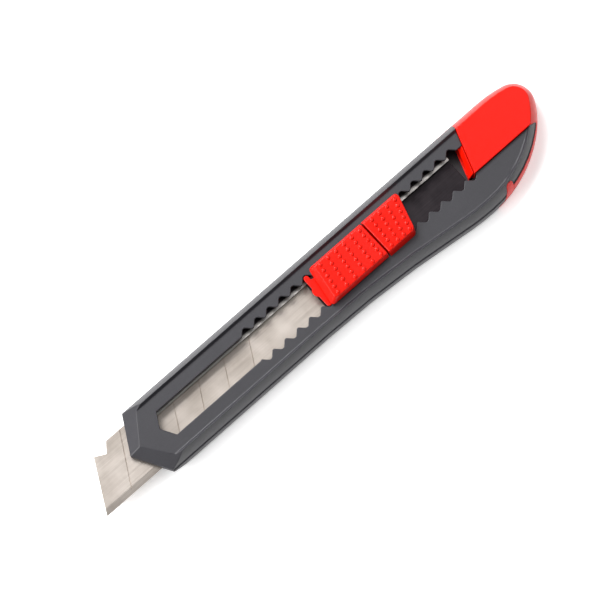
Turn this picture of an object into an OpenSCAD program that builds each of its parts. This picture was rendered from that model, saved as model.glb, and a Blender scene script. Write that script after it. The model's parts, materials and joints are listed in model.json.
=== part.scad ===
/* [Handle] */
// Length of the handle from the nose point to the tail
handle_l = 172.4; // [160:0.1:210]
// Wall of the handle beside the rail
side_wall = 2.75; // [2.6:0.05:4]
// Height of the back shell under the rail
bed_h = 4; // [3.4:0.1:5]
// Thickness of the face above the rail
face_t = 2.65; // [2.4:0.05:3.5]
// Height of the rims above the face
rim_h = 1; // [0.6:0.1:1.4]
// How far the crest of each rim lies in from the widest line
rim_inset = 2.7; // [2.2:0.1:3.2]
// Width of the sloping inner side of each rim
rim_slope_w = 0.8; // [0.4:0.1:1.2]
// How far the edge of the back lies in from the widest line
back_inset = 0.5; // [0.3:0.1:0.8]
// Outer wall of the back shell
back_wall = 1.6; // [1.2:0.1:2]
// Tilt of the nose bevels
bevel_tilt = 32; // [24:1:38]
// Depth of the nose bevel along the centre line
bevel_l = 3.85; // [2.5:0.05:5]
// Angle between the upper edge of the bevel and the centre line
bevel_turn = 54; // [50:1:60]

/* [Belly and tail] */
// Angle by which the belly swings out
belly_turn = 8.1; // [6:0.1:9]
// Radius of the hollow in front of the belly
hollow_r = 380; // [340:10:460]
// Radius where the belly turns back
belly_r = 90; // [60:5:120]
// Radius of the back of the belly
haunch_r = 43; // [38:1:48]
// Radius between the haunch and the tail tip
tail_r = 30; // [26:1:34]
// Radius that brings the tail back to the straight side
crown_r = 45; // [38:1:52]

/* [Slot] */
// Half width of the straight front of the slot
slot_half = 4.8; // [4.6:0.1:5.2]
// Half width of the slot between two teeth
tooth_half = 4.6; // [4.5:0.1:4.8]
// Depth of each notch
notch_depth = 1.8; // [1.4:0.1:2]
// Radius of the bottom of a notch
notch_r = 1; // [0.7:0.1:1.1]
// Distance between two notches
notch_pitch = 5.06; // [4.8:0.02:5.4]
// Number of notches on each side
notch_count = 18; // [16:1:18]
// Thickness of the teeth
tooth_t = 0.9; // [0.8:0.05:1.2]
// Distance from the nose point to the front of the slot
slot_front = 12.3; // [11:0.1:15]
// Distance from the nose point to the first notch
first_notch = 52.5; // [48:0.5:56]
// Notch that holds the slider at rest, counted from the front
rest_notch = 5; // [3:1:7]

/* [Blade] */
// Width of the blade
blade_w = 18; // [15:0.5:22]
// Thickness of the blade
blade_t = 0.5; // [0.4:0.05:0.7]
// Length of the blade
blade_l = 100; // [90:1:110]
// Distance between two score lines
score_pitch = 10.4; // [9:0.1:12]
// Number of score lines
score_count = 6; // [4:1:8]
// Angle of the score lines and of the tip
score_angle = 60; // [45:1:65]
// Width of the ground edge
grind_w = 2; // [1.2:0.1:2.4]
// Radius of the hole at the back of the blade
blade_hole_r = 2; // [1.6:0.1:2.2]

/* [Rail] */
// Thickness of the sheet steel
rail_t = 0.5; // [0.4:0.05:0.6]
// Distance from the centre line to the lip on the spine side
lip_half = 4.3; // [4.3:0.05:4.5]
// Distance from the centre line to the lip on the cutting-edge side
edge_lip_half = 6.7; // [6.5:0.1:7.5]

/* [Slider] */
// Length of the two pads together
pads_l = 34.4; // [32:0.2:35]
// Share of the length taken by the front pad
front_share = 0.62; // [0.55:0.01:0.68]
// Width of the pads at their base
pads_w = 14.5; // [13.5:0.1:16]
// Height of the pads above the face
pads_h = 3.7; // [3.4:0.1:5]
// How far the sides of the pads lean in
pads_draft = 1.1; // [0.8:0.1:1.4]
// Gap between the two pads
pads_gap = 0.6; // [0.4:0.1:1]
// Lean of the front edge of the slider
front_lean = 9; // [4:1:12]
// Lean of the rear edge of the slider
rear_lean = 17; // [12:1:20]
// Half width of the stems that pass through the rail
stem_half = 4; // [3.6:0.1:4]

/* [End cap] */
// Distance from the tail to the cap's front edge, on the centre line
cap_l = 30.9; // [27:0.1:35]
// How far the cap's long edge lies below the centre line
cap_drop = 5; // [4.5:0.1:6]
// Lean of the cap's front edge
cap_lean = 20; // [17:1:23]
// Thickness of the cap on the back
cap_floor = 2.6; // [2:0.1:3]
// Length of the plug in front of the cap
plug_l = 2; // [1.6:0.1:3]

/* [Fits] */
// Play of the blade and carrier in the rail, each side
rail_play = 0.2; // [0.15:0.05:0.3]
// Gap between pieces that sit in each other
seat_gap = 0.05; // [0.03:0.01:0.1]
// Radial play of the lock pad on its guide posts
post_play = 0.05; // [0.03:0.01:0.1]

/* [Hidden] */
$fn = 48;
far = 400;            // longer than the whole knife
lap = 0.02;           // overlap that joins solids

// widths, from the blade outwards
blade_half = blade_w / 2;
rail_in = blade_half + rail_play;
rail_out = rail_in + rail_t;
seat_half = rail_out + seat_gap;
half_w = seat_half + side_wall;

// heights, from the back upwards
rail_z = bed_h;
blade_z = rail_z + rail_t + 2 * seat_gap;
blade_top = blade_z + blade_t;
carrier_t = 0.6;
carrier_z = blade_top + seat_gap;
carrier_top = carrier_z + carrier_t;
lip_z = carrier_top + seat_gap;
rail_top = lip_z + rail_t;
seat_top = rail_top + seat_gap;
face_z = seat_top + face_t;
rim_z = face_z + rim_h;
tooth_z = face_z - tooth_t;
split_z = blade_z + 0.4;      // parting plane of the two shells
belt_z = split_z * 0.48;      // height of the widest line

// side profile: depth in from the widest line against height
rim_r = (rim_inset ^ 2 + (rim_z - belt_z) ^ 2) / (2 * rim_inset);
back_r = (back_inset ^ 2 + belt_z ^ 2) / (2 * back_inset);
rim_sweep = asin((rim_z - belt_z) / rim_r);
back_sweep = asin(belt_z / back_r);
arc_steps = 6;
side_curve = concat(
    [for (i = [0 : arc_steps]) let (a = -back_sweep * (1 - i / arc_steps))
        [back_r * (1 - cos(a)), belt_z + back_r * sin(a)]],
    [for (i = [1 : arc_steps]) let (a = rim_sweep * i / arc_steps)
        [rim_r * (1 - cos(a)), belt_z + rim_r * sin(a)]]);
body_profile = concat(side_curve, [[rim_inset + rim_slope_w, face_z]]);

nose_spare = 1;       // length in front of the nose point that the nose cuts take away

// outline: straight side, belly, tail and back to the other straight side
// each leg is [radius, turn], or [length, 0] where it is straight
haunch_turn = 38;
tail_turn = 22;
crown_turn = 13;
tip_turn = 180 - haunch_turn - tail_turn - crown_turn;
tail_heading = haunch_turn + tail_turn;
belly_rise = (hollow_r + belly_r) * (1 - cos(belly_turn));
belly_run = (hollow_r + belly_r) * sin(belly_turn);
rear_rise = haunch_r * (1 - cos(haunch_turn)) + tail_r * (cos(haunch_turn) - cos(tail_heading));
rear_run = haunch_r * sin(haunch_turn) + tail_r * (sin(tail_heading) - sin(haunch_turn));
tip_r = (2 * half_w + belly_rise - rear_rise - crown_r * (1 - cos(crown_turn)))
        / (cos(tail_heading) + cos(crown_turn));
tip_run = tip_r * (1 - sin(tail_heading));
belly_start = handle_l - tip_run - rear_run - belly_run;
crown_end = handle_l - tip_run + tip_r * (sin(crown_turn) - sin(tail_heading))
            - crown_r * sin(crown_turn);
legs = [[belly_start + nose_spare, 0], [hollow_r, -belly_turn], [belly_r, belly_turn],
        [haunch_r, haunch_turn], [tail_r, tail_turn], [tip_r, tip_turn],
        [crown_r, crown_turn], [crown_end + nose_spare, 0]];

function leg_centre(at, leg) = let (side = sign(leg[1]))
    [at[0] - side * leg[0] * sin(at[2]), at[1] + side * leg[0] * cos(at[2])];
function leg_point(at, leg, share, inset) = leg[1] == 0
    ? [at[0] + leg[0] * share * cos(at[2]) - inset * sin(at[2]),
       at[1] + leg[0] * share * sin(at[2]) + inset * cos(at[2])]
    : let (c = leg_centre(at, leg), side = sign(leg[1]), r = leg[0] - side * inset,
           a = at[2] + leg[1] * share)
      [c[0] + side * r * sin(a), c[1] - side * r * cos(a)];
function leg_end(at, leg) = let (p = leg_point(at, leg, 1, 0)) [p[0], p[1], at[2] + leg[1]];
function leg_start(n) = n == 0 ? [-nose_spare, -half_w, 0] : leg_end(leg_start(n - 1), legs[n - 1]);
function leg_steps(leg) = leg[1] == 0 ? 1 : ceil(abs(leg[1]) / 7) + 1;
function outline(inset) = concat(
    [for (n = [0 : len(legs) - 1]) let (at = leg_start(n), steps = leg_steps(legs[n]))
        for (i = [0 : steps - 1]) leg_point(at, legs[n], i / steps, inset)],
    [leg_point(leg_start(len(legs) - 1), legs[len(legs) - 1], 1, inset)]);

// slot and slider places
lock_x = first_notch + rest_notch * notch_pitch;
last_notch = first_notch + (notch_count - 1) * notch_pitch;
notch_reach = tooth_half + notch_depth;
pocket_half = notch_reach + 0.5;
pocket_front = first_notch - notch_pitch / 2;
travel = 5 * notch_pitch;
press = tooth_t + seat_gap;
pads_top = face_z + pads_h;
pads_x = lock_x + 2.8;                     // front edge of the slider at the centre line
groove_x = pads_x + front_share * pads_l;
carrier_x = lock_x - 1;
carrier_l = pads_l - 0.2;
hole_x = lock_x + 1.3;                     // centre of the blade's hole and of the stud
blade_back = hole_x + 3.4;
blade_tip = blade_back - blade_l;
pad_lift = 0.2;       // gap between the face and the rear pad
front_draft = 1.5;      // draft of the front and rear ends against that of the sides
rear_draft = 0.25;
post_r = 1.2;
post_xs = [pads_x + 4.5, groove_x - 3.5];

// end cap places
cap_x = handle_l - cap_l;
cap_back_x = cap_x - cap_drop * tan(cap_lean);   // foremost corner of the cap
plug_x = cap_x - plug_l - cap_drop * tan(cap_lean);
rail_back = plug_x - 0.25;
screw_head_r = 1.75;
screw_xs = [belly_start + belly_run * 0.66, cap_back_x - 3.2];
screw_y = -seat_half - screw_head_r - 0.3;
pin_xs = [belly_start * 0.33, belly_start * 1.05];
pin_y = seat_half + side_wall * 0.4;
pin_r = 0.6;
pin_h = 1.6;
pin_play = 0.03;
screw_r = 0.95;
screw_head_h = 1.2;
screw_sunk = 0.2;     // how far the heads lie below the back
screw_grip = 2.6;     // thread in the front shell
screw_room = 0.3;     // room round the screws in the back shell
cross_l = 2.2;
cross_w = 0.5;
cross_h = 0.6;
boss_r = 2.3;
end_gap = 0.3;        // gap beyond the ends of pins and screws

// shells inside
nose_wall = 3;        // nose point to the front of the rail
back_bevel_z = 1.2;   // height of the back bevel's upper line
belly_wall = 2.8;
face_wall = 2;        // face above the belly's pocket
rib_t = 1.2;
cell_count = 6;
cell_x = nose_wall + 8;
cell_l = (rail_back - cell_x) / cell_count;
cell_half = rail_in - 1;

// lock and carrier heights
lobe_t = tooth_t - 2 * seat_gap;
lobe_z = tooth_z + seat_gap;
lobe_play = 0.12;     // lobe to notch
tongue_r = 2.2;       // round nose of the lock's tongue
tongue_shift = 0.5;   // how far its middle lies behind the lobes
tongue_back = 2;      // how far the tongue reaches under the lock pad
wing_z = tooth_z - seat_gap - 0.7;
post_top = face_z;
stud_neck_r = 1;
stud_top_h = 0.35;
score_depth = 0.09;
rivet_r = 0.8;
rivet_head_r = 1.5;
rivet_head_h = 0.5;
rivet_grip = 1.5;     // how far the rivets reach above the face
rivet_xs = [groove_x + 3, pads_x + pads_l - 6];

// plug of the cap
plug_z = cap_floor + 0.6;
plug_back = cap_x + 14;
plug_wall = 1.2;
plug_side = 1;        // wall of the cap beside the plug
plug_edge = 0.4;      // width of the plug's top in front of the cap
plug_slope = atan((plug_l - plug_edge) / (face_z - rail_top));
cap_lip_z = cap_floor + 3.6;  // top of the cap's lip round the back of the belly
cap_lip_t = 1.5;
catch_x = cap_back_x + 2.6;
catch_l = 4.8;
catch_h = 5.2;        // to the middle of its round top
catch_t = 3.2;          // how deep the catch's inner side lies from catch_y
catch_y = -half_w - belly_rise;

// puts the middle of the handle over the origin
module placed() { translate([-handle_l / 2, 0, 0]) children(); }

// block given by two opposite corners
module block(low, high) { translate(low) cube(high - low); }

// everything in front of one slanted edge of the nose and above its bevel; side is 1 or -1
module nose_cut(side) {
    rotate([0, 0, side * 60]) translate([-far, side > 0 ? 0 : -far, -1]) cube([2 * far, far, far]);
    translate([bevel_l, 0, face_z]) rotate([0, 0, side * bevel_turn]) rotate([-side * bevel_tilt, 0, 0])
        translate([-far, -far, 0]) cube([2 * far, 2 * far, far]);
    translate([bevel_l, 0, back_bevel_z]) rotate([0, 0, side * bevel_turn]) rotate([side * bevel_tilt, 0, 0])
        translate([-far, -far, -far]) cube([2 * far, 2 * far, far]);
}

// whole outside of the handle: the outline at each depth and height of a side profile, joined in rings
module envelope(profile) {
    rings = [for (p = profile) [for (q = outline(p[0])) [q[0], q[1], p[1]]]];
    count = len(rings[0]);
    last = len(profile) - 1;
    difference() {
        polyhedron([for (ring = rings) each ring], concat(
            [for (i = [0 : count - 3]) [count - 1, i, i + 1]],
            [for (k = [0 : last - 1], i = [0 : count - 1]) let (j = (i + 1) % count)
                [k * count + j, k * count + i, (k + 1) * count + i, (k + 1) * count + j]],
            [for (i = [0 : count - 3]) let (b = last * count) [b + count - 1, b + i + 1, b + i]]));
        for (side = [-1, 1]) nose_cut(side);
    }
}

// plan of a strip with a point of 60 degrees to each side at its front
module pointed_strip(front, back, half) {
    polygon([[front, 0], [front + half * tan(30), half], [back, half], [back, -half],
             [front + half * tan(30), -half]]);
}

// plan of the slot: pointed front, straight part, then notches on both sides
module slot_plan() {
    pointed_strip(slot_front, pocket_front + lap, slot_half);
    translate([pocket_front, -tooth_half]) square([far, 2 * tooth_half]);
    notch_mid = notch_reach - notch_r;
    flank = notch_r * sin(45);
    mouth = flank + (notch_mid + flank - tooth_half);
    bottom = [for (a = [45 : 15 : 135]) [notch_r * cos(a), notch_mid + notch_r * sin(a)]];
    for (i = [0 : notch_count - 1], side = [0, 1]) translate([first_notch + i * notch_pitch, 0])
        mirror([0, side]) polygon(concat([[-mouth, 0], [mouth, 0], [mouth, tooth_half]], bottom,
                                         [[-mouth, tooth_half]]));
}

// plan of the cap on the front: behind the slanted edge and above the long edge
module cap_plan(grow) {
    lean = tan(cap_lean);
    low = -cap_drop - grow;
    polygon([[cap_x - grow + low * lean, low], [far, low], [far, far], [cap_x - grow + far * lean, far]]);
}

// space taken by the cap, grown by the seat gap where the shells are cut back for it
module cap_space(grow) {
    translate([0, 0, -far / 2]) linear_extrude(far) cap_plan(grow);
    block([cap_back_x - grow, -far, -1], [far, far, cap_floor + grow]);
    translate([0, 0, -1]) linear_extrude(1 + cap_lip_z + grow) difference() {
        translate([catch_x + catch_l - grow, -far]) square([far, far]);
        polygon(outline(cap_lip_t + grow));
    }
}

// space of the cap's catch in the belly side: slanted front, round top
module catch_space(grow) {
    lean = catch_h * tan(cap_lean);
    crown_mid = (lean + catch_l) / 2;
    crown = (catch_l - lean) / 2 + grow;
    top = [for (a = [0 : 20 : 180]) [crown_mid + crown * cos(a), catch_h + crown * sin(a)]];
    translate([catch_x, catch_y + catch_t + grow, cap_floor]) rotate([90, 0, 0]) linear_extrude(far)
        polygon(concat([[-grow, 0], [catch_l + grow, 0]], top));
}

// rail, seat and pockets that the two shells leave free inside
module inside_space() {
    translate([0, 0, rail_z]) linear_extrude(seat_top - rail_z)
        pointed_strip(nose_wall, plug_x, seat_half);
    translate([0, 0, blade_z - seat_gap]) linear_extrude(blade_t + 2 * seat_gap)
        translate([-1, -rail_in]) square([nose_wall + rail_in, 2 * rail_in]);
    translate([0, 0, rail_top]) linear_extrude(tooth_z - rail_top)
        translate([pocket_front, -pocket_half]) square([cap_back_x - pocket_front, 2 * pocket_half]);
    block([plug_x - seat_gap, -cap_drop - seat_gap, plug_z - seat_gap], [far, seat_half, tooth_z]);
}

// lightening pocket of the belly between two heights, with room for the screw bosses
module belly_pocket(low, high) {
    difference() {
        translate([0, 0, low]) linear_extrude(high - low) intersection() {
            polygon(outline(belly_wall));
            translate([pin_xs[1] + 8, -far]) square([cap_back_x - pin_xs[1] - 9, far - seat_half - rib_t]);
        }
        for (x = screw_xs) translate([x, screw_y, low - lap]) cylinder(r = boss_r, h = high - low + 2 * lap);
    }
}

module front_shell() {
    color("dimgray") placed() difference() {
        envelope(body_profile);
        block([-far, -far, -1], [far, far, split_z]);
        cap_space(seat_gap);
        catch_space(seat_gap);
        inside_space();
        belly_pocket(split_z - 1, face_z - face_wall);
        translate([0, 0, rail_top - 1]) linear_extrude(far) slot_plan();
        for (x = screw_xs) translate([x, screw_y, split_z - 1])
            cylinder(r = screw_r + pin_play, h = 1 + screw_grip + end_gap);
        for (x = pin_xs, side = [-1, 1]) translate([x, side * pin_y, split_z - 1])
            cylinder(r = pin_r + pin_play, h = 1 + pin_h + end_gap);
    }
}

module back_shell() {
    color("#2b2a2d") placed() {
        difference() {
            intersection() {
                envelope(body_profile);
                block([-far, -far, -1], [far, far, split_z]);
            }
            cap_space(seat_gap);
            catch_space(seat_gap);
            inside_space();
            belly_pocket(back_wall, split_z + 1);
            for (i = [0 : cell_count - 1]) block([cell_x + i * cell_l, -cell_half, back_wall],
                [cell_x + (i + 1) * cell_l - rib_t, cell_half, rail_z]);
            for (x = screw_xs) translate([x, screw_y, -1]) {
                cylinder(r = screw_r + screw_room, h = far);
                cylinder(r = screw_head_r + screw_room / 2, h = 1 + screw_sunk + screw_head_h);
            }
        }
        for (x = pin_xs, side = [-1, 1]) translate([x, side * pin_y, split_z - 1])
            cylinder(r = pin_r, h = 1 + pin_h);
    }
}

// self-tapping screws that pull the shells together along the belly
module case_screws() {
    color("silver") placed() for (x = screw_xs) translate([x, screw_y, screw_sunk]) difference() {
        union() {
            cylinder(r = screw_head_r, h = screw_head_h);
            cylinder(r = screw_r, h = split_z + screw_grip - screw_sunk);
        }
        for (turn = [0, 90]) rotate([0, 0, turn])
            block([-cross_l / 2, -cross_w / 2, -1], [cross_l / 2, cross_w / 2, cross_h]);
    }
}

// sheet steel channel with two lips that hold the blade down
module blade_rail() {
    color("silver") placed() difference() {
        translate([0, 0, rail_z]) linear_extrude(rail_top - rail_z)
            pointed_strip(nose_wall + seat_gap, rail_back, rail_out);
        translate([0, 0, rail_z + rail_t]) linear_extrude(lip_z - rail_z - rail_t)
            translate([-1, -rail_in]) square([far, 2 * rail_in]);
        block([-1, -edge_lip_half, lip_z - lap], [far, lip_half, far]);
    }
}

// plan of the blade with its slanted tip and the broken-off corner on the spine side
module blade_plan() {
    run = blade_w / tan(score_angle);
    polygon([[blade_tip, -blade_half], [blade_back, -blade_half], [blade_back, blade_half],
             [blade_tip + run + 4.8, blade_half], [blade_tip + run + 2.3, blade_half - 3.2],
             [blade_tip + run - 1.3, blade_half - 1.3]]);
}

module blade() {
    flat = 0.05;          // half thickness left at the ground edge
    color("gainsboro") placed() difference() {
        intersection() {
            translate([0, 0, blade_z]) linear_extrude(blade_t) blade_plan();
            translate([blade_tip - 1, 0, 0]) rotate([90, 0, 90]) linear_extrude(blade_l + 2)
                polygon([[blade_half + 1, blade_z - 1], [blade_half + 1, blade_top + 1],
                         [grind_w - blade_half, blade_top + 1], [grind_w - blade_half, blade_top],
                         [-blade_half, blade_z + blade_t / 2 + flat],
                         [-blade_half, blade_z + blade_t / 2 - flat],
                         [grind_w - blade_half, blade_z], [grind_w - blade_half, blade_z - 1]]);
        }
        for (i = [1 : score_count], side = [0, 1])
            translate([blade_tip + i * score_pitch, -blade_half, blade_z + side * blade_t])
                rotate([0, 0, score_angle]) translate([-far / 2, 0, 0]) rotate([45, 0, 0])
                    translate([0, -score_depth, -score_depth]) cube([far, 2 * score_depth, 2 * score_depth]);
        translate([hole_x, 0, 0]) cylinder(r = blade_hole_r, h = far);
    }
}

// moulded slide that carries the blade, with the posts that guide the lock pad
module blade_carrier() {
    color("#202022") placed() difference() {
        union() {
            block([carrier_x, -blade_half, carrier_z],
                  [carrier_x + carrier_l, blade_half, carrier_top]);
            block([blade_back + rail_play, -blade_half, blade_z],
                  [carrier_x + carrier_l, blade_half, carrier_z + lap]);
            for (x = post_xs) translate([x, 0, carrier_z]) cylinder(r = post_r, h = post_top - carrier_z);
        }
        translate([hole_x, 0, 0]) cylinder(r = stud_neck_r + pin_play, h = far);
        for (x = rivet_xs) translate([x, 0, 0]) {
            cylinder(r = rivet_r + pin_play, h = far);
            cylinder(r = rivet_head_r + pin_play, h = blade_z + rivet_head_h + seat_gap);
        }
    }
}

// stud riveted to the carrier, which the blade's hole drops over
module blade_stud() {
    color("silver") placed() translate([hole_x, 0, 0]) {
        translate([0, 0, blade_z]) cylinder(r = blade_hole_r - 0.1, h = carrier_z - blade_z);
        translate([0, 0, blade_z]) cylinder(r = stud_neck_r, h = carrier_top - blade_z + lap);
        translate([0, 0, carrier_top]) cylinder(r = stud_neck_r + 0.5, h = stud_top_h);
    }
}

module carrier_rivets() {
    color("silver") placed() for (x = rivet_xs) translate([x, 0, blade_z + seat_gap]) {
        cylinder(r = rivet_head_r, h = rivet_head_h);
        cylinder(r = rivet_r, h = face_z + rivet_grip - blade_z);
    }
}

// drafted pad between two x positions at the centre line, each end with its own lean
module pad_block(x0, lean0, x1, lean1, low, draft_ends) {
    top_half = pads_w / 2 - pads_draft;
    base_half = top_half + pads_draft * (pads_top - low) / (pads_top - face_z);
    half_at = [base_half, top_half];
    grow_at = [draft_ends, [0, 0]];
    z_at = [low, pads_top];
    corners = [for (k = [0, 1]) let (h = half_at[k], g0 = grow_at[k][0], g1 = grow_at[k][1], z = z_at[k])
        [[x0 - g0 - h * tan(lean0), -h, z], [x1 + g1 - h * tan(lean1), -h, z],
         [x1 + g1 + h * tan(lean1), h, z], [x0 - g0 + h * tan(lean0), h, z]]];
    polyhedron(concat(corners[0], corners[1]),
        [[0, 1, 2, 3], [7, 6, 5, 4], [0, 4, 5, 1], [1, 5, 6, 2], [2, 6, 7, 3], [3, 7, 4, 0]]);
}

// fixed pad behind the groove, with its stem down to the carrier
module rear_pad() {
    color("red") placed() difference() {
        union() {
            pad_block(groove_x + pads_gap / 2, 0, pads_x + pads_l, rear_lean, face_z + pad_lift,
                      [0, pads_draft * rear_draft]);
            block([groove_x + pads_gap, -stem_half, carrier_top],
                  [carrier_x + carrier_l - 1, stem_half, face_z + 1]);
        }
        for (x = rivet_xs) translate([x, 0, 0])
            cylinder(r = rivet_r + pin_play, h = face_z + rivet_grip + 2 * seat_gap);
    }
}

// sprung pad in front of the groove, with wings that stay under the face
module lock_pad() {
    back = groove_x - pads_gap / 2;
    wing_half = pocket_half - 0.3;
    color("red") placed() difference() {
        union() {
            pad_block(pads_x, front_lean, back, 0, face_z + press + 2 * seat_gap,
                      [pads_draft * front_draft, 0]);
            block([pads_x + tongue_back, -stem_half, wing_z], [back, stem_half, face_z + press + 1]);
            block([pads_x + 4, -wing_half, wing_z], [back, wing_half, tooth_z - seat_gap]);
        }
        for (x = post_xs) translate([x, 0, 0])
            cylinder(r = post_r + post_play, h = post_top + press + pad_lift);
    }
}

// springy tongue moulded to the front of the lock pad: its two lobes sit in a pair of notches
module lock_tongue() {
    lobe_mid = notch_reach - notch_r - lobe_play;
    lobe_r = notch_r - lobe_play;
    color("red") placed() {
        block([lock_x, -stem_half, lobe_z], [pads_x + tongue_back, stem_half, face_z - seat_gap]);
        translate([lock_x + tongue_shift, 0, lobe_z]) cylinder(r = tongue_r, h = lobe_t);
        for (side = [-1, 1]) {
            translate([lock_x, side * lobe_mid, lobe_z]) cylinder(r = lobe_r, h = lobe_t);
            block([lock_x - lobe_r, min(side, side * lobe_mid), lobe_z],
                  [lock_x + lobe_r, max(side, side * lobe_mid), lobe_z + lobe_t]);
        }
    }
}

// bowed leaf between the carrier and the lock pad
module lock_spring() {
    t = 0.25;
    rise = wing_z - carrier_top - t - 2 * seat_gap;
    x0 = post_xs[0] + post_r + 1;
    run = post_xs[1] - post_xs[0] - 2 * post_r - 2;
    steps = 16;
    line = [for (i = [0 : steps])
        [x0 + run * i / steps, carrier_top + seat_gap + rise * (1 - cos(360 * i / steps)) / 2]];
    color("gray") placed() translate([0, stem_half - 1, 0]) rotate([90, 0, 0])
        linear_extrude(2 * stem_half - 2)
            polygon(concat(line, [for (i = [steps : -1 : 0]) line[i] + [0, t]]));
}

// cap over the tail: on the front it stops at the long edge, on the back it is full width
module end_cap() {
    color("red") placed() difference() {
        intersection() {
            envelope(side_curve);
            cap_space(0);
        }
        plug_base();
    }
}

// catch of the cap that snaps into the belly side
module cap_catch() {
    color("red") placed() intersection() {
        envelope(side_curve);
        catch_space(0);
    }
}

// part of the plug that is glued into the cap; its front edge runs parallel to the cap's edge
module plug_base() {
    translate([0, 0, plug_z]) linear_extrude(tooth_z - seat_gap - plug_z) intersection() {
        cap_plan(plug_l);
        translate([0, plug_side - cap_drop]) square([plug_back, cap_drop + seat_half - 2 * plug_side]);
    }
}

// plug glued into the cap that fills the back of the shells and the back end of the slot
module cap_plug() {
    color("red") placed() difference() {
        union() {
            plug_base();
            translate([0, 0, plug_z]) linear_extrude(face_z - seat_gap - plug_z) difference() {
                intersection() {
                    cap_plan(plug_l);
                    translate([0, seat_gap - tooth_half])
                        square([cap_x + tooth_half, 2 * (tooth_half - seat_gap)]);
                }
                cap_plan(seat_gap);
            }
        }
        translate([cap_x - plug_edge, 0, face_z]) rotate([0, 0, -cap_lean]) rotate([0, plug_slope, 0])
            translate([-far, -far, -far]) cube([far, 2 * far, 2 * far]);
        block([plug_x - far, plug_side + plug_wall - cap_drop, plug_z + plug_wall],
              [plug_back - plug_wall, seat_half - plug_side - plug_wall, tooth_z - plug_wall]);
    }
}

front_shell();
back_shell();
case_screws();
blade_rail();
blade();
blade_carrier();
blade_stud();
carrier_rivets();
rear_pad();
lock_pad();
lock_tongue();
lock_spring();
end_cap();
cap_plug();
cap_catch();
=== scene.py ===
import json
import math

import bmesh
import bpy
from mathutils import Matrix, Vector
from mathutils.bvhtree import BVHTree


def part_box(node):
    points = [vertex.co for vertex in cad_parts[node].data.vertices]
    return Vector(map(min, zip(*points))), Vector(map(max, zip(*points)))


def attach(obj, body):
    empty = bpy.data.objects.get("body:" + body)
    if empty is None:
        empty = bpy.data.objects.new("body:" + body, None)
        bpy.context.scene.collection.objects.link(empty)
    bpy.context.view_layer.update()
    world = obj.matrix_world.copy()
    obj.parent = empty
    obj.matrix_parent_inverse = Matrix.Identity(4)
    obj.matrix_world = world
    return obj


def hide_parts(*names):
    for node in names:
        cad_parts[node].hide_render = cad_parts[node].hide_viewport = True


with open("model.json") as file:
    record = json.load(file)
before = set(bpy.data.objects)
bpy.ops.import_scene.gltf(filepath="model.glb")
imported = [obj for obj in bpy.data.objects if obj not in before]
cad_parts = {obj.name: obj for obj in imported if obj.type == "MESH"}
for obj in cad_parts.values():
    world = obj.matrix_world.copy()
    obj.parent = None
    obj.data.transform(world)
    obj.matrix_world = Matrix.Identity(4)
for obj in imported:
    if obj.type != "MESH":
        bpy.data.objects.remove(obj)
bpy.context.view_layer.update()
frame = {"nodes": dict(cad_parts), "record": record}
MM = 0.001


# ---------------------------------------------------------------- small tools

def linear(text):
    """An sRGB hex colour as linear red, green, blue and alpha."""
    parts = [int(text[i:i + 2], 16) / 255 for i in (0, 2, 4)]
    return [c / 12.92 if c <= 0.04045 else ((c + 0.055) / 1.055) ** 2.4 for c in parts] + [1]


def add(tree, kind, options={}, values={}, links={}):
    """Adds a node: its own options, the numbers on its inputs, and what is linked to them."""
    made = tree.nodes.new(kind)
    for name, value in options.items():
        setattr(made, name, value)
    for name, value in values.items():
        made.inputs[name].default_value = value
    for name, source in links.items():
        tree.links.new(source, made.inputs[name])
    return made


def placed(name, data):
    """A new object with this data, put in the scene."""
    made = bpy.data.objects.new(name, data)
    bpy.context.scene.collection.objects.link(made)
    return made


def new_material(name):
    made = bpy.data.materials.new(name)
    made.use_nodes = True
    made.node_tree.nodes.clear()
    return made, made.node_tree


def per_mm(size):
    """Texture scale that gives features of this size in millimetres."""
    return 1 / (size * MM)


# ---------------------------------------------------------------- materials

def moulded_plastic(name, dark, light, grain, grain_depth, rough, specular):
    """Injection-moulded plastic. dark and light bound its colour, grain and grain_depth are the
    tool's texture in mm, and faint scuffs along X vary the roughness."""
    material, tree = new_material(name)
    place = add(tree, "ShaderNodeTexCoord").outputs["Object"]
    cloud = add(tree, "ShaderNodeTexNoise", values={"Scale": per_mm(14), "Detail": 3},
                links={"Vector": place})
    fine = add(tree, "ShaderNodeTexNoise", values={"Scale": per_mm(grain), "Detail": 2, "Roughness": 0.6},
               links={"Vector": place})
    scuff_place = add(tree, "ShaderNodeMapping", values={"Scale": (0.12, 1, 1)}, links={"Vector": place})
    scuff = add(tree, "ShaderNodeTexNoise", values={"Scale": per_mm(0.9), "Detail": 4},
                links={"Vector": scuff_place.outputs[0]})
    colour = add(tree, "ShaderNodeMix", {"data_type": "RGBA"}, {6: linear(dark), 7: linear(light)},
                 {0: cloud.outputs["Fac"]})
    speck = add(tree, "ShaderNodeMapRange", values={"From Min": 0.35, "From Max": 0.7,
                                                    "To Min": 0.94, "To Max": 1.06},
                links={"Value": fine.outputs["Fac"]})
    tint = add(tree, "ShaderNodeVectorMath", {"operation": "SCALE"},
               links={0: colour.outputs[2], "Scale": speck.outputs[0]})
    gloss = add(tree, "ShaderNodeMapRange", values={"From Min": 0.35, "From Max": 0.75,
                                                    "To Min": rough, "To Max": rough + 0.03},
                links={"Value": scuff.outputs["Fac"]})
    bump = add(tree, "ShaderNodeBump", values={"Strength": 1, "Distance": grain_depth * MM},
               links={"Height": fine.outputs["Fac"]})
    shader = add(tree, "ShaderNodeBsdfPrincipled",
                 values={"IOR": 1.54, "Specular IOR Level": specular},
                 links={"Base Color": tint.outputs[0], "Roughness": gloss.outputs[0],
                        "Normal": bump.outputs[0]})
    add(tree, "ShaderNodeOutputMaterial", links={"Surface": shader.outputs[0]})
    return material


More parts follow.
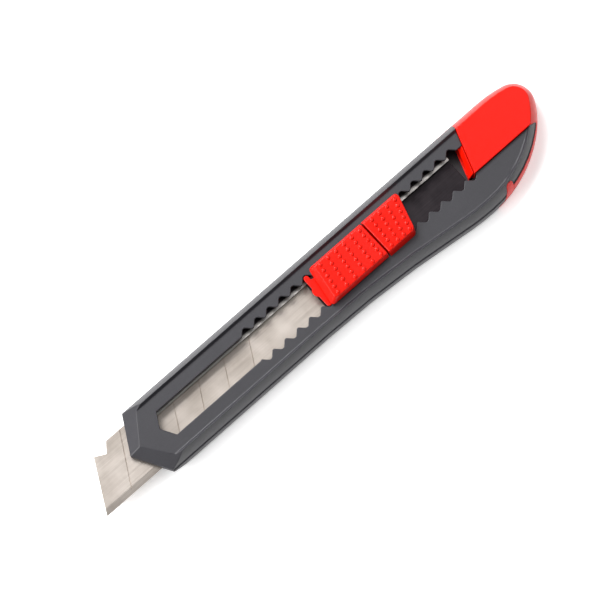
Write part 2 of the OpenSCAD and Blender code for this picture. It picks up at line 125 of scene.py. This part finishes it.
def rolled_steel(name, dark, light, line_pitch, rough):
    """Steel strip ground along its length: fine lines run along X, and the shine breaks along them."""
    material, tree = new_material(name)
    place = add(tree, "ShaderNodeTexCoord").outputs["Object"]
    along = add(tree, "ShaderNodeMapping", values={"Scale": (0.01, 1, 0.3)}, links={"Vector": place})
    lines = add(tree, "ShaderNodeTexNoise",
                values={"Scale": per_mm(line_pitch), "Detail": 4, "Roughness": 0.7},
                links={"Vector": along.outputs[0]})
    cloud = add(tree, "ShaderNodeTexNoise", values={"Scale": per_mm(9), "Detail": 3},
                links={"Vector": place})
    mixed = add(tree, "ShaderNodeMath", {"operation": "MULTIPLY_ADD"}, {1: 0.55},
                {0: lines.outputs["Fac"], 2: cloud.outputs["Fac"]})
    share = add(tree, "ShaderNodeMapRange", values={"From Min": 0.55, "From Max": 1},
                links={"Value": mixed.outputs[0]})
    colour = add(tree, "ShaderNodeMix", {"data_type": "RGBA"}, {6: linear(dark), 7: linear(light)},
                 {0: share.outputs[0]})
    gloss = add(tree, "ShaderNodeMapRange", values={"From Min": 0.3, "From Max": 0.7,
                                                    "To Min": rough, "To Max": rough + 0.12},
                links={"Value": lines.outputs["Fac"]})
    bump = add(tree, "ShaderNodeBump", values={"Strength": 0.6, "Distance": 0.004 * MM},
               links={"Height": lines.outputs["Fac"]})
    shader = add(tree, "ShaderNodeBsdfPrincipled", values={"Metallic": 1},
                 links={"Base Color": colour.outputs[2], "Roughness": gloss.outputs[0],
                        "Normal": bump.outputs[0]})
    add(tree, "ShaderNodeOutputMaterial", links={"Surface": shader.outputs[0]})
    return material, tree, colour, shader


# Charcoal ABS from a spark-eroded tool: a fine even grain that breaks the shine into a soft satin.
CASE = moulded_plastic("abs_moulded_charcoal", "29282D", "323136", 0.4, 0.012, 0.42, 0.5)
# Signal-red ABS from a polished tool: a strong even colour with a soft broad shine.
RED = moulded_plastic("abs_moulded_gloss_red", "D60E00", "E01400", 2.5, 0.002, 0.3, 0.22)
# Black POM, moulded and left as it comes: dull and slightly waxy.
BLACK = moulded_plastic("pom_moulded_black", "151517", "1E1E21", 0.5, 0.008, 0.38, 0.4)
# Rolled and ground carbon steel of the blade: warm light grey with lengthwise lines.
BLADE, _, _, _ = rolled_steel("carbon_steel_ground", "ACA299", "CFC6BE", 0.25, 0.34)
# Zinc-plated steel of screws, rivets and spring: brighter, slightly bluish.
ZINC, _, _, _ = rolled_steel("zinc_plated_steel", "A9ADB3", "CDD0D4", 0.5, 0.28)


def dark_rail_painted_lip_highlight(name, floor_z, lip_z):
    """Dark sheet steel with a painted highlight: its lips, high up and at Y below 5 mm, are mixed to
    near-white.
    """
    material, tree, colour, shader = rolled_steel(name, "2E2A2D", "3E393C", 0.3, 0.36)
    place = add(tree, "ShaderNodeTexCoord").outputs["Object"]
    at = add(tree, "ShaderNodeSeparateXYZ", links={0: place}).outputs
    # Painted highlight mask: height over the floor, times a mask that is full below Y = 5 mm, picks out the
    # lips.
    high = add(tree, "ShaderNodeMapRange", values={"From Min": floor_z, "From Max": lip_z},
               links={"Value": at["Z"]})
    near = add(tree, "ShaderNodeMapRange", values={"From Min": 5.6 * MM, "From Max": 5.0 * MM},
               links={"Value": at["Y"]})
    share = add(tree, "ShaderNodeMath", {"operation": "MULTIPLY"}, {},
                {0: high.outputs[0], 1: near.outputs[0]})
    # Painted highlight: where the mask is full, the dark steel is mixed towards near-white D8D4D0.
    painted_lip_highlight = add(tree, "ShaderNodeMix", {"data_type": "RGBA"}, {7: linear("D8D4D0")},
                 {0: share.outputs[0], 6: colour.outputs[2]})
    tree.links.new(painted_lip_highlight.outputs[2], shader.inputs["Base Color"])
    return material


# The rail's finish carries a painted highlight on its lips.
rail_low, rail_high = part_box("blade_rail")
RAIL = dark_rail_painted_lip_highlight("sheet_steel_darkened", rail_low.z + 1.4 * MM, rail_high.z - 0.1 * MM)

FINISH = {
    "case_plastic": CASE,
    "red_plastic": RED,
    "black_plastic": BLACK,
    "blade_steel": BLADE,
    "rail_steel": RAIL,
    "zinc_steel": ZINC,
}
SLOT_OF = {part["node"]: part["material_slot"] for part in frame["record"]["subparts"]}
BODY_OF = {node: body for body, nodes in frame["record"]["behaviour"]["bodies"].items() for node in nodes}

for node, piece in frame["nodes"].items():
    piece.data.materials.clear()
    piece.data.materials.append(FINISH[SLOT_OF[node]])


# ---------------------------------------------------------------- pieces

STRIP = 9              # width of the strips that long flat faces are kept in, mm
JOIN_GAP = 0.002       # corners of the CAD triangles this near are one corner, mm
CUT_GAP = 0.0005       # corners this near a cut lie on it, mm
FLAT_WITHIN = math.radians(0.4)
SHARP_FROM = math.radians(30)
screws_low, screws_high = (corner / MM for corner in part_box("case_screws"))
SCREW_R = (screws_high.y - screws_low.y) / 2
HOLE_X = [screws_low.x + SCREW_R, screws_high.x - SCREW_R]


def merged(node):
    """The CAD node's triangles joined up in millimetres: each flat area becomes a few large faces.
    It is cut lengthwise and in strips first, so that no face has a hole in it."""
    work = bmesh.new()
    work.from_mesh(frame["nodes"][node].data)
    work.transform(Matrix.Scale(1 / MM, 4))
    bmesh.ops.remove_doubles(work, verts=work.verts, dist=JOIN_GAP)
    low, high = (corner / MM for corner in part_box(node))
    strips = int((high.x - low.x) / STRIP)
    planes = [((0, 0, 0), (0, 1, 0))]
    planes += [((low.x + (i + 0.5) * STRIP, 0, 0), (1, 0, 0)) for i in range(strips)]
    planes += [((x, 0, 0), (1, 0, 0)) for x in HOLE_X]
    for point, across in planes:
        cut = bmesh.ops.bisect_plane(work, geom=work.verts[:] + work.edges[:] + work.faces[:],
                                     plane_co=point, plane_no=across, dist=CUT_GAP)
        for part in cut["geom_cut"]:
            if isinstance(part, bmesh.types.BMEdge):
                part.seam = True
    bmesh.ops.dissolve_limit(work, angle_limit=FLAT_WITHIN, verts=work.verts, edges=work.edges,
                             delimit={"SEAM"})
    return work


def plain_mesh(name, work, *modifiers):
    """The bmesh, in millimetres, with these modifiers applied, as triangles and in metres."""
    work.verts.index_update()
    rough_mesh = bpy.data.meshes.new(name + "_rough")
    rough_mesh.from_pydata([v.co[:] for v in work.verts], [],
                           [[v.index for v in face.verts] for face in work.faces])
    work.free()
    rough_mesh.shade_smooth()
    holder = placed(name + "_rough", rough_mesh)
    for title, kind, settings in modifiers + (("triangles", "TRIANGULATE", {"keep_custom_normals": True}),):
        step = holder.modifiers.new(title, kind)
        for key, value in settings.items():
            setattr(step, key, value)
    graph = bpy.context.evaluated_depsgraph_get()
    mesh = bpy.data.meshes.new_from_object(holder.evaluated_get(graph))
    bpy.data.objects.remove(holder)
    bpy.data.meshes.remove(rough_mesh)
    mesh.transform(Matrix.Scale(MM, 4))
    mesh.name = name
    return mesh


def stands_for(mesh, node):
    """The mesh becomes a piece that rides with the CAD node's body and is shown in its place."""
    mesh.materials.clear()
    mesh.materials.append(FINISH[SLOT_OF[node]])
    piece = placed(mesh.name, mesh)
    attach(piece, BODY_OF[node])
    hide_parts(node)


def rounded_copy(node, name, edge, segments=2):
    """The CAD node with its sharp edges rounded by edge, in mm. Where a rounding overshoots in a
    tight corner it is put back on the node's own surface."""
    mesh = plain_mesh(name, merged(node), ("rounded edges", "BEVEL", {
        "width": edge, "segments": segments, "limit_method": "ANGLE", "angle_limit": SHARP_FROM,
        "use_clamp_overlap": False, "harden_normals": True}))
    wall = BVHTree.FromObject(frame["nodes"][node], bpy.context.evaluated_depsgraph_get())
    for vert in mesh.vertices:
        near, _, _, gap = wall.find_nearest(vert.co)
        if gap > edge * MM:
            vert.co = near
    stands_for(mesh, node)


rounded_copy("front_shell", "front_shell_moulding", 0.22)
rounded_copy("back_shell", "back_shell_moulding", 0.2)
rounded_copy("end_cap", "end_cap_moulding", 0.28, 3)
rounded_copy("cap_catch", "cap_catch_tab", 0.2)
rounded_copy("cap_plug", "cap_plug_moulding", 0.2)
rounded_copy("lock_tongue", "lock_tongue_moulding", 0.15)

# sizes of the two pads as in the part, in mm
PAD_TOP_HALF = 6.15    # half width at the top
PAD_DRAFT = 1.1        # how far the sides lean in
PAD_DRAFT_H = 3.7      # height over which they do
LOCK_LEAN = math.radians(9)     # lean of the slider's front end across its width
REAR_LEAN = math.radians(17)    # lean of its rear end
LOCK_END_DRAFT = 1.65  # how far the front end leans back
REAR_END_DRAFT = 0.28  # how far the rear end leans in
LOCK_LOW = 10.05       # underside of the lock pad
REAR_LOW = 9.2         # underside of the rear pad
GROOVE_HALF = 0.3      # half width of the groove between the pads
BUMP_H = 0.3           # height of the grip bumps
DISH = 0.45            # how far the tops sink towards the groove
CORNER_R = 1.3         # rounding of the slider's four outer corners
GROOVE_R = 0.3         # rounding of the corners at the groove
EDGE_R = 0.35          # rounding round the tops
LEAST_CORNER_R = 0.3
SIDE_STEPS = 14        # faces along a pad
TOP_STEPS = 8          # faces across its top
SPLIT_FROM = math.radians(50)
STEM_GAP = 0.02        # the stem ends this far below the pad

lock_low, lock_high = (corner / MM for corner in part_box("lock_pad"))
rear_low, rear_high = (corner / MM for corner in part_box("rear_pad"))
PAD_TOP = lock_high.z


def half_at(z):
    """Half width of a pad at this height."""
    return PAD_TOP_HALF + PAD_DRAFT * (PAD_TOP - z) / PAD_DRAFT_H


GROOVE_X = (lock_high.x + rear_low.x) / 2
LOCK_X = lock_low.x + LOCK_END_DRAFT + half_at(LOCK_LOW) * math.tan(LOCK_LEAN)
REAR_X = rear_high.x - REAR_END_DRAFT - half_at(REAR_LOW) * math.tan(REAR_LEAN)


def pad_top_z(x, end):
    """Height of a pad's top: it sinks in a curve from its end to the groove."""
    share = min(1, max(0, (x - GROOVE_X) / (end - GROOVE_X)))
    return PAD_TOP - BUMP_H - DISH * (1 - share) ** 2


def pad_ring(end, lean, grow, half, z, inset, on_top):
    """Outline of a pad from its outer end to the groove, as (x, y, z) with each point followed by
    its twin on the other side. With on_top, z counts from the pad's top."""
    out = 1 if end > GROOVE_X else -1
    x_end = end + out * (grow - inset)
    x_groove = GROOVE_X + out * (GROOVE_HALF + inset)
    width = half - inset
    points = [(x_end, 0)]
    corner = max(CORNER_R - inset, LEAST_CORNER_R)
    points += [(x_end - out * corner * (1 - math.sin(a)), width - corner * (1 - math.cos(a)))
               for a in (math.radians(90 - 15 * i) for i in range(7))]
    first = x_end - out * corner
    last = x_groove + out * GROOVE_R
    points += [(first + (last - first) * i / SIDE_STEPS, width) for i in range(1, SIDE_STEPS)]
    points += [(x_groove + out * GROOVE_R * (1 - math.sin(a)), width - GROOVE_R * (1 - math.cos(a)))
               for a in (math.radians(30 * i) for i in range(4))]
    points += [(x_groove, 0)]
    made = []
    for x, y in points:
        share = (x - x_groove) / (x_end - x_groove)
        for side in (1, -1):
            made.append((x + side * y * math.tan(lean) * share, side * y, z))
    if on_top:
        made = [(x, y, pad_top_z(x, end) + z) for x, y, _ in made]
    return made


def pad_mesh(name, node, end, lean, grow, low):
    """One pad: drafted sides, rounded corners and edges, a dished top, and the node's own stem."""
    rings = [pad_ring(end, lean, grow, half_at(low), low, 0, False)]
    for a in (math.radians(22.5 * i) for i in range(5)):
        rings.append(pad_ring(end, lean, 0, PAD_TOP_HALF, EDGE_R * (math.sin(a) - 1),
                              EDGE_R * (1 - math.cos(a)), True))
    work = bmesh.new()
    made = [[work.verts.new(p) for p in ring] for ring in rings]
    count = len(made[0]) // 2
    loop = [2 * i for i in range(count)] + [2 * i + 1 for i in reversed(range(count))]
    for lower, upper in zip(made, made[1:]):
        for i, j in zip(loop, loop[1:] + loop[:1]):
            work.faces.new((lower[i], lower[j], upper[j], upper[i]))
    left, right = made[-1][0::2], made[-1][1::2]
    rows = []
    for a, b in zip(left, right):
        row = [a]
        for k in range(1, TOP_STEPS):
            spot = a.co.lerp(b.co, k / TOP_STEPS)
            row.append(work.verts.new((spot.x, spot.y, pad_top_z(spot.x, end))))
        rows.append(row + [b])
    for one, two in zip(rows, rows[1:]):
        for k in range(TOP_STEPS):
            work.faces.new((one[k], one[k + 1], two[k + 1], two[k]))
    for i in range(count - 1):
        work.faces.new((made[0][2 * i], made[0][2 * i + 1], made[0][2 * i + 3], made[0][2 * i + 2]))
    bmesh.ops.remove_doubles(work, verts=work.verts, dist=CUT_GAP)
    bmesh.ops.recalc_face_normals(work, faces=work.faces)
    stem = merged(node)
    cut = bmesh.ops.bisect_plane(stem, geom=stem.verts[:] + stem.edges[:] + stem.faces[:],
                                 plane_co=(0, 0, low - STEM_GAP), plane_no=(0, 0, 1), clear_outer=True)
    rims = [part for part in cut["geom_cut"] if isinstance(part, bmesh.types.BMEdge)]
    bmesh.ops.triangle_fill(stem, edges=rims, use_beauty=True, normal=(0, 0, 1))
    bmesh.ops.recalc_face_normals(stem, faces=stem.faces)
    stem_mesh = bpy.data.meshes.new("stem")
    stem.to_mesh(stem_mesh)
    stem.free()
    work.from_mesh(stem_mesh)
    bpy.data.meshes.remove(stem_mesh)
    mesh = plain_mesh(name, work,
                      ("edges", "EDGE_SPLIT", {"split_angle": SPLIT_FROM}),
                      ("normals", "WEIGHTED_NORMAL", {"keep_sharp": True}))
    stands_for(mesh, node)


pad_mesh("lock_pad_moulding", "lock_pad", LOCK_X, LOCK_LEAN, LOCK_END_DRAFT, LOCK_LOW)
pad_mesh("rear_pad_moulding", "rear_pad", REAR_X, REAR_LEAN, REAR_END_DRAFT, REAR_LOW)


def bump_tree():
    """Geometry Nodes: rows and columns of low domes, fanned between two leans, on a dished top."""
    tree = bpy.data.node_groups.new("grip bumps", "GeometryNodeTree")
    sizes = {"Columns": "NodeSocketInt", "Rows": "NodeSocketInt", "Length": "NodeSocketFloat",
             "Width": "NodeSocketFloat", "Start": "NodeSocketFloat", "Lean at start": "NodeSocketFloat",
             "Lean at end": "NodeSocketFloat", "Top": "NodeSocketFloat", "Groove": "NodeSocketFloat",
             "Dish length": "NodeSocketFloat", "Dish": "NodeSocketFloat", "Radius": "NodeSocketFloat",
             "Height": "NodeSocketFloat", "Material": "NodeSocketMaterial"}
    for name, kind in sizes.items():
        tree.interface.new_socket(name, in_out="INPUT", socket_type=kind)
    tree.interface.new_socket("Geometry", in_out="OUTPUT", socket_type="NodeSocketGeometry")
    given = add(tree, "NodeGroupInput").outputs
    grid = add(tree, "GeometryNodeMeshGrid",
               links={"Size X": given["Length"], "Size Y": given["Width"],
                      "Vertices X": given["Columns"], "Vertices Y": given["Rows"]})
    place = add(tree, "GeometryNodeInputPosition").outputs[0]
    at = add(tree, "ShaderNodeSeparateXYZ", links={0: place}).outputs
    known = {"X": at["X"], "Y": at["Y"], **{name: given[name] for name in sizes}}
    for result, operation, *terms in (
            ("part", "DIVIDE", "X", "Length"), ("along", "ADD", "part", 0.5),
            ("turn", "SUBTRACT", "Lean at end", "Lean at start"), ("turned", "MULTIPLY", "along", "turn"),
            ("lean", "ADD", "Lean at start", "turned"), ("slope", "TANGENT", "lean"),
            ("run", "MULTIPLY", "along", "Length"), ("straight", "ADD", "run", "Start"),
            ("shift", "MULTIPLY", "Y", "slope"), ("x", "ADD", "straight", "shift"),
            ("from groove", "SUBTRACT", "x", "Groove"), ("away", "ABSOLUTE", "from groove"),
            ("share", "DIVIDE", "away", "Dish length"), ("rest", "SUBTRACT", 1, "share"),
            ("curve", "POWER", "rest", 2), ("sink", "MULTIPLY", "curve", "Dish"),
            ("z", "SUBTRACT", "Top", "sink"), ("flat", "DIVIDE", "Height", "Radius")):
        numbers = {i: term for i, term in enumerate(terms) if not isinstance(term, str)}
        sources = {i: known[term] for i, term in enumerate(terms) if isinstance(term, str)}
        step = add(tree, "ShaderNodeMath", {"operation": operation}, numbers, sources)
        known[result] = step.outputs[0]
    spot = add(tree, "ShaderNodeCombineXYZ",
               links={"X": known["x"], "Y": at["Y"], "Z": known["z"]}).outputs[0]
    points = add(tree, "GeometryNodeSetPosition",
                 links={"Geometry": grid.outputs["Mesh"], "Position": spot})
    dome = add(tree, "GeometryNodeMeshUVSphere", values={"Segments": 12, "Rings": 6},
               links={"Radius": given["Radius"]})
    scale = add(tree, "ShaderNodeCombineXYZ", values={"X": 1, "Y": 1},
                links={"Z": known["flat"]}).outputs[0]
    low_dome = add(tree, "GeometryNodeTransform",
                   links={"Geometry": dome.outputs["Mesh"], "Scale": scale})
    smooth = add(tree, "GeometryNodeSetShadeSmooth", links={"Geometry": low_dome.outputs[0]})
    spread = add(tree, "GeometryNodeInstanceOnPoints",
                 links={"Points": points.outputs[0], "Instance": smooth.outputs[0]})
    real = add(tree, "GeometryNodeRealizeInstances", links={"Geometry": spread.outputs[0]})
    painted = add(tree, "GeometryNodeSetMaterial", links={"Geometry": real.outputs[0],
                                                          "Material": given["Material"]})
    add(tree, "NodeGroupOutput", links={"Geometry": painted.outputs[0]})
    return tree


BUMPS = bump_tree()


def bump_field(name, node, **inputs):
    """Runs the bump tree with these inputs and keeps its result as one plain mesh."""
    carrier = placed(name + "_field", bpy.data.meshes.new(name + "_field"))
    field = carrier.modifiers.new("grip bumps", "NODES")
    field.node_group = BUMPS
    for item in BUMPS.interface.items_tree:
        if item.in_out == "INPUT":
            field[item.identifier] = inputs[item.name.replace(" ", "_").lower()]
    graph = bpy.context.evaluated_depsgraph_get()
    mesh = bpy.data.meshes.new_from_object(carrier.evaluated_get(graph))
    bpy.data.objects.remove(carrier)
    mesh.name = name
    piece = placed(name, mesh)
    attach(piece, BODY_OF[node])


common = {"rows": 6, "width": 10 * MM, "radius": 0.75 * MM, "height": BUMP_H * MM,
          "top": (PAD_TOP - BUMP_H) * MM, "groove": GROOVE_X * MM, "dish": DISH * MM, "material": RED}
bump_field("lock_pad_bumps", "lock_pad", columns=6, length=17.3 * MM, start=(LOCK_X + 1.9) * MM,
           lean_at_start=LOCK_LEAN, lean_at_end=0.0, dish_length=(GROOVE_X - LOCK_X) * MM, **common)
bump_field("rear_pad_bumps", "rear_pad", columns=4, length=8.6 * MM, start=(GROOVE_X + 2.7) * MM,
           lean_at_start=REAR_LEAN * 0.25, lean_at_end=REAR_LEAN * 0.9,
           dish_length=(REAR_X - GROOVE_X) * MM, **common)


# ---------------------------------------------------------------- floor, light and camera

FLOOR_HALF = 2.5       # metres
FLOOR_GAP = 0.0001


def studio_floor():
    """Matt white paper under the knife, with a faint tooth. It glows a little, so it stays white."""
    material, tree = new_material("paper_matt_white")
    place = add(tree, "ShaderNodeTexCoord").outputs["Object"]
    tooth = add(tree, "ShaderNodeTexNoise", values={"Scale": per_mm(1.2), "Detail": 3},
                links={"Vector": place})
    colour = add(tree, "ShaderNodeMix", {"data_type": "RGBA"},
                 {6: linear("F6F6F6"), 7: linear("FAFAFA")}, {0: tooth.outputs["Fac"]})
    shader = add(tree, "ShaderNodeBsdfPrincipled", values={"Roughness": 0.9, "Specular IOR Level": 0.1,
                                                             "Emission Color": (1, 1, 1, 1),
                                                             "Emission Strength": 0.4},
                 links={"Base Color": colour.outputs[2]})
    add(tree, "ShaderNodeOutputMaterial", links={"Surface": shader.outputs[0]})
    mesh = bpy.data.meshes.new("floor")
    mesh.from_pydata([(-FLOOR_HALF, -FLOOR_HALF, 0), (FLOOR_HALF, -FLOOR_HALF, 0),
                      (FLOOR_HALF, FLOOR_HALF, 0), (-FLOOR_HALF, FLOOR_HALF, 0)], [], [(0, 1, 2, 3)])
    mesh.materials.append(material)
    floor = placed("floor", mesh)
    floor.location.z = -FLOOR_GAP


ROOM = 0.27            # strength of the room's own light
TURN = math.radians(-42)        # where the camera stands, around the knife and above it
RISE = math.radians(76.5)
CAMERA_AWAY = 1.041    # metres
AIM_AT = Vector((-0.0007, 0, 0.007))
AIM_LEFT = 0.01124     # from there to the middle of the frame, in the camera's own directions
AIM_DOWN = 0.00745
SOFTBOXES = (          # right, away and up in metres, side in metres, watts
    ("key_softbox", -0.6, 0.6, 0.85, 0.7, 20),
    ("nose_softbox", -0.9, -0.55, 0.6, 0.5, 12),
    ("fill_softbox", 0.5, 0.5, 1.0, 0.8, 3),
)
SCREEN_RIGHT = Vector((math.cos(TURN), math.sin(TURN), 0))
SCREEN_AWAY = Vector((-math.sin(TURN), math.cos(TURN), 0))


def soft_light(name, right, away, up, size, watts):
    """A square softbox at a place given in the camera's own directions, turned to the knife."""
    lamp = bpy.data.lights.new(name, "AREA")
    lamp.shape = "SQUARE"
    lamp.size = size
    lamp.energy = watts
    holder = placed(name, lamp)
    holder.location = SCREEN_RIGHT * right + SCREEN_AWAY * away + Vector((0, 0, up))
    holder.rotation_euler = (-holder.location).to_track_quat("-Z", "Y").to_euler()


def studio():
    """A plain white room and three softboxes: over the back, off the nose, and a weak one to fill."""
    world = bpy.data.worlds.new("studio")
    world.use_nodes = True
    tree = world.node_tree
    tree.nodes.clear()
    light = add(tree, "ShaderNodeBackground", values={"Strength": ROOM})
    add(tree, "ShaderNodeOutputWorld", links={"Surface": light.outputs[0]})
    bpy.context.scene.world = world
    for softbox in SOFTBOXES:
        soft_light(*softbox)


def camera():
    """A long lens from high above the cutting-edge side."""
    lens = bpy.data.cameras.new("camera")
    lens.sensor_width = 36
    lens.lens = 200
    lens.clip_start = 0.01
    lens.clip_end = 50
    back = Vector((math.sin(TURN) * math.cos(RISE), -math.cos(TURN) * math.cos(RISE), math.sin(RISE)))
    aim = AIM_AT - SCREEN_RIGHT * AIM_LEFT - back.cross(SCREEN_RIGHT) * AIM_DOWN
    holder = placed("camera", lens)
    holder.location = aim + back * CAMERA_AWAY
    holder.rotation_euler = (-back).to_track_quat("-Z", "Y").to_euler()
    bpy.context.scene.camera = holder


studio_floor()
studio()
camera()
bpy.context.scene.view_settings.view_transform = "Standard"
